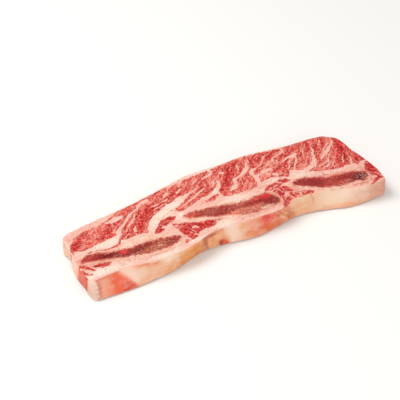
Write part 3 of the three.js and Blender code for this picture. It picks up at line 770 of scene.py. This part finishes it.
def round_corners(p, half):
    """Rounds the four corners of the plan, ring by ring, so that the grid stays even."""
    ring = np.max(np.abs(p[:, :2]) / half[:2], axis=1)
    radius = np.empty(len(p))
    for signs, corner in CORNER_RADII.items():
        here = np.all((p[:, :2] >= 0) == (np.array(signs) > 0), axis=1)
        radius[here] = corner
    radius = radius * ring
    inner = half[:2] * ring[:, None] - radius[:, None]
    core = np.clip(p[:, :2], -inner, inner)
    out = p[:, :2] - core
    length = np.linalg.norm(out, axis=1)
    core += out * np.minimum(1, radius / np.maximum(length, TINY))[:, None]
    return np.column_stack([core, p[:, 2]])


def slab_shape(unit, cells):
    """The slice's form, from the points of a unit grid box."""
    half = np.array([LENGTH, WIDTH, THICKNESS]) / 2
    q = round_corners(soft_box(unit, half, cells, EDGE_RADIUS), half)
    part = (q / half + 1) / 2
    left, right = along(LEFT_END, part[:, 1]), along(RIGHT_END, part[:, 1])
    x = left + (right - left) * part[:, 0]
    foot, top = along(FRONT_EDGE_FOOT, x), along(FRONT_EDGE_TOP, x)
    front = foot + (top - foot) * part[:, 2]
    y = front + (along(BACK_EDGE, x) - front) * part[:, 1]
    z = part[:, 2] * (THICKNESS + face_swell(x, y))
    return np.stack([x, y, z], axis=1)


def fit_to_solid(p):
    """Scales the points to fill the solid slice's box, less a little clearance."""
    low, high = p.min(0), p.max(0)
    goal_low = np.array(CAD_BOX[0]) / MM + CLEARANCE
    goal_low[2] = 0
    goal_high = np.array(CAD_BOX[1]) / MM - CLEARANCE
    return goal_low + (p - low) / (high - low) * (goal_high - goal_low)


def linear(colour):
    """A colour given as screen values from 0 to 255, as the light it stands for."""
    c = np.array(colour, float) / 255
    return np.where(c <= 0.04045, c / 12.92, ((c + 0.055) / 1.055) ** 2.4)


def paint(spot, dabs):
    """Soft dabs of colour laid over one another: red, green, blue and how much they cover."""
    colour = np.zeros((len(spot), 3))
    cover = np.zeros(len(spot))
    for middle, reach, tone, strength in dabs:
        far = np.linalg.norm((spot - middle) / reach, axis=1)
        here = (1 - smooth(far, 0.3, 1.35)) * strength
        colour += here[:, None] * (linear(tone) - colour)
        cover = np.maximum(cover, here)
    return colour, cover


def fill(spot, shapes, colour):
    """Fills soft-edged outlines with colour over the painted one."""
    for outline, softness, tone, strength in shapes:
        here = smooth(outline_depth(spot, outline), -softness, softness) * strength
        colour += here[:, None] * (linear(tone) - colour)


def draw(spot, marks, colour):
    """Lays soft lines of colour over the painted one."""
    for line, widths, tone, strength in marks:
        here = smooth(band_depth(spot, line, widths), -0.5, 0.3) * strength
        colour += here[:, None] * (linear(tone) - colour)


def flesh_relief(p, sawn, fat, fibres):
    """How far each point moves outwards: muscle sinks, its fibres ripple, and the sides swell and bead."""
    in_fat = smooth(fat, -0.5, 0.5)
    lift = MUSCLE_SINK * (in_fat - 1)
    lift += (1 - in_fat) * FIBRE_RIPPLE * (wander(fibres / [5, 1.1, 4], 1, seed=3) - 1)
    lift += FACE_RIPPLE * (wander(p, 7, seed=4) - 1)
    bulge = SIDE_SWELL * wander(p / [1.3, 1, 1.6], 9, seed=5) + SIDE_RIPPLE * wander(p, 3.2, seed=6)
    corner = smooth(-p[:, 0], 100, 103) * smooth(-p[:, 1], 18, 22)
    bulge += BEAD_HEIGHT * corner * np.cos(p[:, 2] * 2 * math.pi / BEAD_SPACING)
    return sawn * lift + (1 - sawn) * bulge


def rib_side_paint(spot, bleed):
    """The rib side's colours, with their painted reflected light and painted shade, and how much they
    cover, with edges that bleed into one another.
    """
    colour, cover = paint(spot + bleed, FRONT_PAINT)
    fill(spot + bleed * 0.6, FRONT_SHAPES, colour)
    draw(spot + bleed * 0.4, FRONT_MARKS, colour)
    return colour, cover


def left_end_paint(spot, bleed, lean):
    """The left end's colours, with their painted reflected light, and how much they cover, which is less
    where lean shows.
    """
    colour, cover = paint(spot + bleed, LEFT_PAINT)
    fill(spot + bleed * 0.4, LEFT_SHAPES, colour)
    return colour, cover * (1 - 0.4 * smooth(lean, -0.4, 0.6))


def flesh():
    """The soft part of the slice, all in one piece: muscle, seam fat and the rib side's smooth membrane."""
    piece = block("flesh", FLESH_CELLS)
    move_points(piece, fit_to_solid(slab_shape(coordinates(piece), FLESH_CELLS)))
    p, out = coordinates(piece), normals(piece)
    spot = tissue_place(p)
    fibres = grain(spot, p[:, 2])
    fat = fat_depth(spot + ripple(p, 3.4, 1.4, 0.7, seed=21))
    sawn = smooth(np.abs(out[:, 2]), 0.55, 0.85)
    p = p + out * flesh_relief(p, sawn, fat, fibres)[:, None]
    p[:, 2] -= smooth(rib_cover(spot), 0.5, 1.3) * RIB_POCKET * sawn * np.sign(out[:, 2])
    move_points(piece, fit_to_solid(p) * MM)

    side = 1 - sawn
    front = side * smooth(-out[:, 1], 0.3, 0.7)
    back = side * smooth(out[:, 1], 0.3, 0.7)
    left = side * smooth(-out[:, 0], 0.55, 0.8)
    bleed = ripple(p, 4, 1.6, 1.2, seed=31)
    lean = end_lean(p[:, [1, 2]] + bleed * 0.5)
    rind = RIND_DEPTH - (RIND_DEPTH + FAT_LIMIT) * smooth(p[:, 0], *RIND_END)
    fat = fat + left * (-lean - fat)
    fat = fat + back * (np.maximum(fat, rind) - fat)
    # The rib side's and left end's tint holds their own colours with painted reflected light and painted
    # shade.
    colour, cover = rib_side_paint(p[:, [0, 2]], bleed)
    end_colour, end_cover = left_end_paint(p[:, [1, 2]], bleed, lean)
    tint = colour + left[:, None] * (end_colour - colour)
    amount = np.maximum(front * cover * (1 - left), left * end_cover)
    plain = smooth(island_depth(spot), -1.5, 0.5) * 0.3
    record(piece, "fat", fat)
    record(piece, "grain", fibres)
    record(piece, "richness", np.clip(richness(fibres) - plain, -1, 1))
    record(piece, "whiteness", patches(spot, WHITENESS))
    record(piece, "blush", patches(spot, BLUSH))
    record(piece, "side", side)
    record(piece, "tint", np.column_stack([tint, amount]))
    return piece


def spread_over(outline, unit, cells):
    """Lays a square grid over an outline: its rings become ever smaller copies of the outline."""
    ring = np.max(np.abs(unit), axis=1)
    x, y = (unit / np.maximum(ring, TINY)[:, None]).T
    # How far round the grid each point's ray leaves it, in cells from the middle of the left side and over
    # the top.
    length, width = cells[0] / 2, cells[1] / 2
    trip = np.select(
        [(x <= TINY - 1) & (y >= 0), y >= 1 - TINY, x >= 1 - TINY, y <= TINY - 1],
        [y * width, width + (x + 1) * length, width * (2 - y) + length * 2, width * 3 + length * (3 - x)],
        width * (4 + y) + length * 4)
    trip = trip / (4 * (length + width))
    loop = np.vstack([outline, outline[:1]])
    steps = np.append(0, np.cumsum(np.linalg.norm(np.diff(loop, axis=0), axis=1)))
    rim = np.column_stack([np.interp(trip * steps[-1], steps, loop[:, axis]) for axis in (0, 1)])
    middle = outline.mean(axis=0)
    return middle + (rim - middle) * ring[:, None], ring


def rib(name):
    """One sawn rib: a bony ring with its spongy marrow a little below the face."""
    bone, marrow = rounded_outline(RIBS[name]["bone"]), rounded_outline(RIBS[name]["marrow"])
    piece = block(f"rib_{name}", RIB_CELLS)
    unit = coordinates(piece)
    spot, ring = spread_over(bone, unit[:, :2], RIB_CELLS)
    top = THICKNESS + face_swell(*spot.T) - RIB_INSET
    edge = RIB_EDGE * smooth(ring, 0.93, 1.0) ** 2
    up = (unit[:, 2] + 1) / 2
    z = RIB_FOOT + edge + up * (top - RIB_FOOT - 2 * edge)
    z = np.clip(z, 0, THICKNESS - CLEARANCE)
    here = np.column_stack([spot, z])
    core = outline_depth(spot, marrow)
    core += 0.5 * wander(here, 2.6, seed=11) + 0.3 * wander(here, 1.1, seed=14)
    sunk = smooth(core, -0.1, 0.9)
    depth = sunk * (MARROW_DEPTH + PORE_DEPTH * wander(here, 0.9, seed=12))
    depth += (1 - sunk) * BONE_RIPPLE * (1 + wander(here, 1.6, seed=13))
    z += np.select([unit[:, 2] > 0.999, unit[:, 2] < -0.999], [-depth, depth], 0)
    x = spot[:, 0] + RIB_LEAN * (z / THICKNESS - 1)
    x = np.maximum(x, CAD_BOX[0][0] / MM + END_COVER)
    move_points(piece, np.column_stack([x, spot[:, 1], z]) * MM)
    colour, _ = paint(spot, MARROW_PAINT)
    record(piece, "core", core)
    record(piece, "blush", patches(spot, BLUSH))
    record(piece, "tint", colour)
    record(piece, "lattice", patches(spot, LATTICE))
    return piece


class Wire:
    """One output of a shader node. Sums and products of wires and numbers add Math nodes."""

    def __init__(self, paint_box, socket):
        self.paint_box = paint_box
        self.socket = socket

    def __add__(self, other):
        return self.paint_box.maths("ADD", self, other)

    def __sub__(self, other):
        return self.paint_box.maths("SUBTRACT", self, other)

    def __rsub__(self, other):
        return self.paint_box.maths("SUBTRACT", other, self)

    def __mul__(self, other):
        return self.paint_box.maths("MULTIPLY", self, other)

    def __abs__(self):
        return self.paint_box.maths("ABSOLUTE", self)

    __radd__ = __add__
    __rmul__ = __mul__


class PaintBox:
    """The node tree of one material, with its surface shader."""

    def __init__(self, name):
        self.material = bpy.data.materials.new(name)
        self.material.use_nodes = True
        self.nodes = self.material.node_tree.nodes
        self.links = self.material.node_tree.links
        self.shader = self.nodes["Principled BSDF"]

    def plug(self, socket, value):
        if isinstance(value, Wire):
            self.links.new(value.socket, socket)
        else:
            socket.default_value = value

    def node(self, kind, settings=None, inputs=None, output=0):
        """Any node: its type, its settings, then the values or wires of its sockets."""
        node = self.nodes.new(kind)
        for name, value in (settings or {}).items():
            setattr(node, name, value)
        for key, value in (inputs or {}).items():
            self.plug(node.inputs[key], value)
        return Wire(self, node.outputs[output])

    def maths(self, operation, *values):
        return self.node("ShaderNodeMath", {"operation": operation}, dict(enumerate(values)))

    def most(self, a, b):
        return self.maths("MAXIMUM", a, b)

    def ramp(self, value, low, high, bottom=0.0, top=1.0):
        """A smooth rise from bottom at low to top at high."""
        return self.node("ShaderNodeMapRange", {"interpolation_type": "SMOOTHSTEP"},
                         {0: value, 1: low, 2: high, 3: bottom, 4: top})

    def blend(self, amount, first, second):
        """The first colour where amount is 0 and the second where it is 1."""
        return self.node("ShaderNodeMix", {"data_type": "RGBA"}, {0: amount, 6: first, 7: second}, 2)

    def layer(self, name, output="Fac"):
        """A value, vector or colour that the mesh keeps for each point."""
        return self.node("ShaderNodeAttribute", {"attribute_name": name}, None, output)

    def stretch(self, vector, by):
        return self.node("ShaderNodeVectorMath", {"operation": "MULTIPLY"}, {0: vector, 1: by})

    def shift(self, vector, by):
        return self.node("ShaderNodeVectorMath", {"operation": "ADD"}, {0: vector, 1: by})

    def noise(self, vector, scale, detail=2.0, roughness=0.5, output="Fac"):
        sockets = {"Vector": vector, "Scale": scale, "Detail": detail, "Roughness": roughness}
        return self.node("ShaderNodeTexNoise", None, sockets, output)

    def drawn_out(self, vector, by, detail, roughness=0.5):
        """Noise that is squeezed by a different amount along each direction."""
        return self.noise(self.stretch(vector, by), 1, detail, roughness)

    def wobble(self, spot, scale, reach):
        """A random shift that changes over the piece, by up to half of reach either way."""
        random = self.shift(self.noise(spot, scale, output="Color"), (-0.5, -0.5, -0.5))
        return self.stretch(random, reach)

    def lines(self, noise, inner, outer, strength=1.0):
        """Thin lines where a noise passes its middle value: full up to inner, and gone at outer."""
        return self.ramp(abs(noise - 0.5), inner, outer, strength, 0.0)

    def millimetres(self):
        """The place on the piece, in millimetres."""
        return self.stretch(self.node("ShaderNodeTexCoord", output="Object"), (1 / MM, 1 / MM, 1 / MM))

    def bump(self, height, distance, strength):
        sockets = {"Strength": strength, "Distance": distance, "Height": height}
        return self.node("ShaderNodeBump", None, sockets)

    def finish(self, **sockets):
        """The material, once these sockets of its surface shader are filled."""
        for name, value in sockets.items():
            self.plug(self.shader.inputs[name.replace("_", " ")], value)
        return self.material


def shade(colour):
    return (*linear(colour), 1)


def marbling(box, spot, fibres, streaky, rich):
    """Fat within the muscle: veins and streaks along the fibres, with a finer net, flecks and grains."""
    veins = box.drawn_out(fibres, (0.1, 0.25, 0.2), 3, 0.6)
    veins = box.lines(veins, 0.006 + rich * 0.025, 0.036 + rich * 0.05)
    streaks = box.ramp(streaky + rich * 0.12, 0.59, 0.65)
    net = box.noise(box.shift(box.stretch(fibres, (0.34, 0.74, 0.4)), (9, 4, 2)), 1, 3, 0.6)
    net = box.lines(net, 0.006 + rich * 0.02, 0.045 + rich * 0.05)
    flecks = box.noise(box.shift(box.stretch(fibres, (0.42, 0.85, 0.5)), (3, 8, 5)), 1)
    flecks = box.ramp(flecks + rich * 0.08, 0.61, 0.66)
    grains = box.ramp(box.drawn_out(spot, (0.62, 0.5, 0.5), 1) + rich * 0.06, 0.61, 0.66)
    along_fibres = box.most(veins * 0.9, streaks * 0.9)
    between_fibres = box.most(net * 0.3, flecks * 0.85)
    return box.most(box.most(along_fibres, between_fibres), grains * 0.85)


def lean_colour(box, spot, fibres, rich):
    """Red muscle with darker blots; where it is richly marbled, it is lighter."""
    strands = box.drawn_out(fibres, (0.6, 1.4, 0.7), 3, 0.65) - rich * 0.05
    blots = box.drawn_out(box.shift(spot, (40, 0, 0)), (0.6, 0.5, 0.5), 1)
    return box.blend(box.ramp(strands * 0.5 + blots * 0.5, 0.44, 0.56), shade(LEAN), shade(DEEP_LEAN))


def fat_colour(box, spot, drift, streaky):
    """Cream fat that is whiter in places, with stained threads and crumbs."""
    milky = box.layer("whiteness") + (box.noise(spot, 0.4, 4, 0.65) - 0.5) * 1.5 + (streaky - 0.5) * 0.9
    pale = box.blend(box.ramp(milky, -0.1, 0.9), shade(FAT), shade(WHITE_FAT))
    threads = box.lines(box.drawn_out(box.shift(spot, drift), (0.22, 0.5, 0.4), 3, 0.6), 0.0, 0.03, 0.5)
    crumbs = (box.noise(spot, 0.75, 4, 0.7) - 0.5) * 2.2
    stain = box.ramp(box.layer("blush") * 0.9 + threads + crumbs, 0.1, 1.0)
    return box.blend(stain, pale, shade(STAINED_FAT))


def side_colours_and_painted_light(box, spot):
    """The rib side and left end: the membrane's own colours with painted reflected light and painted shade,
    and pale streaks.
    """
    streaks = box.ramp(box.drawn_out(spot, (0.14, 0.3, 0.3), 4, 0.65), 0.42, 0.7) * 0.28
    return box.blend(streaks, box.layer("tint", "Color"), shade(MEMBRANE_STREAK))


def flesh_material():
    """Marbled muscle, seam fat and membrane: which is which comes from the depth into fat."""
    box = PaintBox("flesh")
    spot = box.millimetres()
    drift = box.wobble(spot, 0.3, (5, 2.6, 0))
    jitter = box.wobble(spot, 1.1, (1.6, 0.9, 0))
    fibres = box.shift(box.shift(box.layer("grain", "Vector"), drift), jitter)
    streaky = box.drawn_out(fibres, (0.14, 0.42, 0.3), 4, 0.6)
    rich = box.layer("richness")
    side = box.layer("side")

    ragged = box.layer("fat") + (box.noise(spot, 0.9, 3, 0.6) - 0.5) * 1.4 + (streaky - 0.5) * 2.8
    fatty = box.ramp(ragged, -0.4, 0.4)
    cover = box.most(fatty, marbling(box, spot, fibres, streaky, rich) * (1 - side * 0.6))
    pale = box.blend(box.ramp(fatty, 0.2, 1), shade(MARBLING), fat_colour(box, spot, drift, streaky))
    colour = box.blend(cover, lean_colour(box, spot, fibres, rich), pale)
    on_side = box.layer("tint", "Alpha") * box.ramp(side, 0.1, 0.8)
    colour = box.blend(on_side, colour, side_colours_and_painted_light(box, spot))

    height = box.noise(spot, 1.6, 3, 0.6) * 0.35 + cover * 0.35
    return box.finish(
        Base_Color=colour, Roughness=box.ramp(box.noise(spot, 0.5), 0.3, 0.7, 0.36, 0.52),
        Normal=box.bump(height, 0.3 * MM, 0.4), Coat_Weight=0.04, Coat_Roughness=0.25,
        IOR=1.4, Specular_IOR_Level=0.24, Subsurface_Weight=0.12, **SCATTER)


def rib_material():
    """Pale compact bone round a dark, spongy core."""
    box = PaintBox("sawn_rib")
    spot = box.millimetres()
    core = box.layer("core")
    sponge = box.noise(spot, 1.1, 4, 0.8)
    ragged = core + 0.6 + (sponge - 0.5) * 5 + (box.noise(spot, 0.55, 3, 0.65) - 0.5) * 7
    inside = box.ramp(ragged, -0.4, 0.8)

    clouds = box.noise(spot, 0.45, 4, 0.65)
    pale = box.blend(box.ramp(clouds, 0.35, 0.65), shade(BONE), shade(PALE_BONE))
    pores = box.ramp(box.noise(spot, 1.5), 0.62, 0.72)
    specks = box.ramp(box.noise(spot, 1.1, 3, 0.7), 0.54, 0.64)
    stain = box.layer("blush") * 0.7 + box.ramp(core, -2.2, 0.2) * 0.7 + pores * 0.3 + specks * 0.25
    pale = box.blend(stain, pale, shade(STAINED_BONE))

    tint = box.layer("tint", "Color")
    holes, fill_in = box.stretch(tint, (0.64, 0.5, 0.5)), box.stretch(tint, (1.8, 2.5, 2.2))
    dark = box.blend(box.ramp(sponge, 0.42, 0.6) * 0.85, holes, fill_in)
    walls = box.ramp(box.noise(spot, 1.0, 3, 0.6), 0.52, 0.6) * box.layer("lattice")
    dark = box.blend(walls, dark, shade(MARROW_WALL))

    height = walls * inside + clouds * 0.5 + box.noise(spot, 2.4, 3, 0.6) * 0.3
    return box.finish(
        Base_Color=box.blend(inside, pale, dark), Roughness=box.ramp(inside, 0, 1, 0.45, 0.62),
        Normal=box.bump(height, 0.5 * MM, 0.8), Specular_IOR_Level=0.12, Subsurface_Weight=0.1, **SCATTER)


def dress(piece, material, *nodes, slot):
    """Gives a piece its material and its place in the frame."""
    piece.data.materials.append(material)
    deselect()
    piece.select_set(True)
    bpy.context.view_layer.objects.active = piece
    bpy.ops.object.shade_smooth()
    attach(piece, "root")
    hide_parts(*nodes)


def camera():
    """A long lens, looking down at the slice from the front left, as in the photograph."""
    data = bpy.data.cameras.new("camera")
    data.sensor_width = SENSOR_WIDTH
    data.lens = SENSOR_WIDTH * FOCAL_WIDTHS
    view = bpy.data.objects.new("camera", data)
    right, up = Vector(CAMERA_RIGHT), Vector(CAMERA_UP)
    turn = Matrix((right, up, right.cross(up))).transposed().to_4x4()
    view.matrix_world = Matrix.Translation(Vector(CAMERA_PLACE) * MM) @ turn
    bpy.context.collection.objects.link(view)
    bpy.context.scene.camera = view


def floor():
    """A plain pale floor, just below the slice."""
    deselect()
    bpy.ops.mesh.primitive_plane_add(size=FLOOR_SIZE, location=(0, 0, -FLOOR_DROP))
    piece = bpy.context.object
    piece.name = "floor"
    box = PaintBox("floor")
    piece.data.materials.append(box.finish(Base_Color=FLOOR_WHITE, Roughness=0.7))


def lamp(name, place, size, power):
    """A square soft box that faces the slice."""
    data = bpy.data.lights.new(name, "AREA")
    data.size = size
    data.energy = power
    light = bpy.data.objects.new(name, data)
    light.location = place
    light.rotation_mode = "QUATERNION"
    light.rotation_quaternion = Vector(place).to_track_quat("Z", "Y")
    bpy.context.collection.objects.link(light)


def studio():
    """A bright, soft studio: even light all round, a lamp above the back left and a weaker one in front."""
    world = bpy.data.worlds.new("studio")
    world.use_nodes = True
    background = world.node_tree.nodes["Background"]
    background.inputs["Color"].default_value = DAYLIGHT
    background.inputs["Strength"].default_value = DAYLIGHT_STRENGTH
    bpy.context.scene.world = world
    lamp("key", *KEY_LAMP)
    lamp("fill", *FILL_LAMP)
    bpy.context.scene.view_settings.view_transform = "Standard"


camera()
studio()
floor()
soft_nodes = [name for name in frame["nodes"] if not name.startswith(("bone_", "marrow_"))]
dress(flesh(), flesh_material(), *soft_nodes, slot="muscle")
sawn_rib = rib_material()
for rib_name in RIBS:
    dress(rib(rib_name), sawn_rib, f"bone_{rib_name}", f"marrow_{rib_name}", slot="bone")
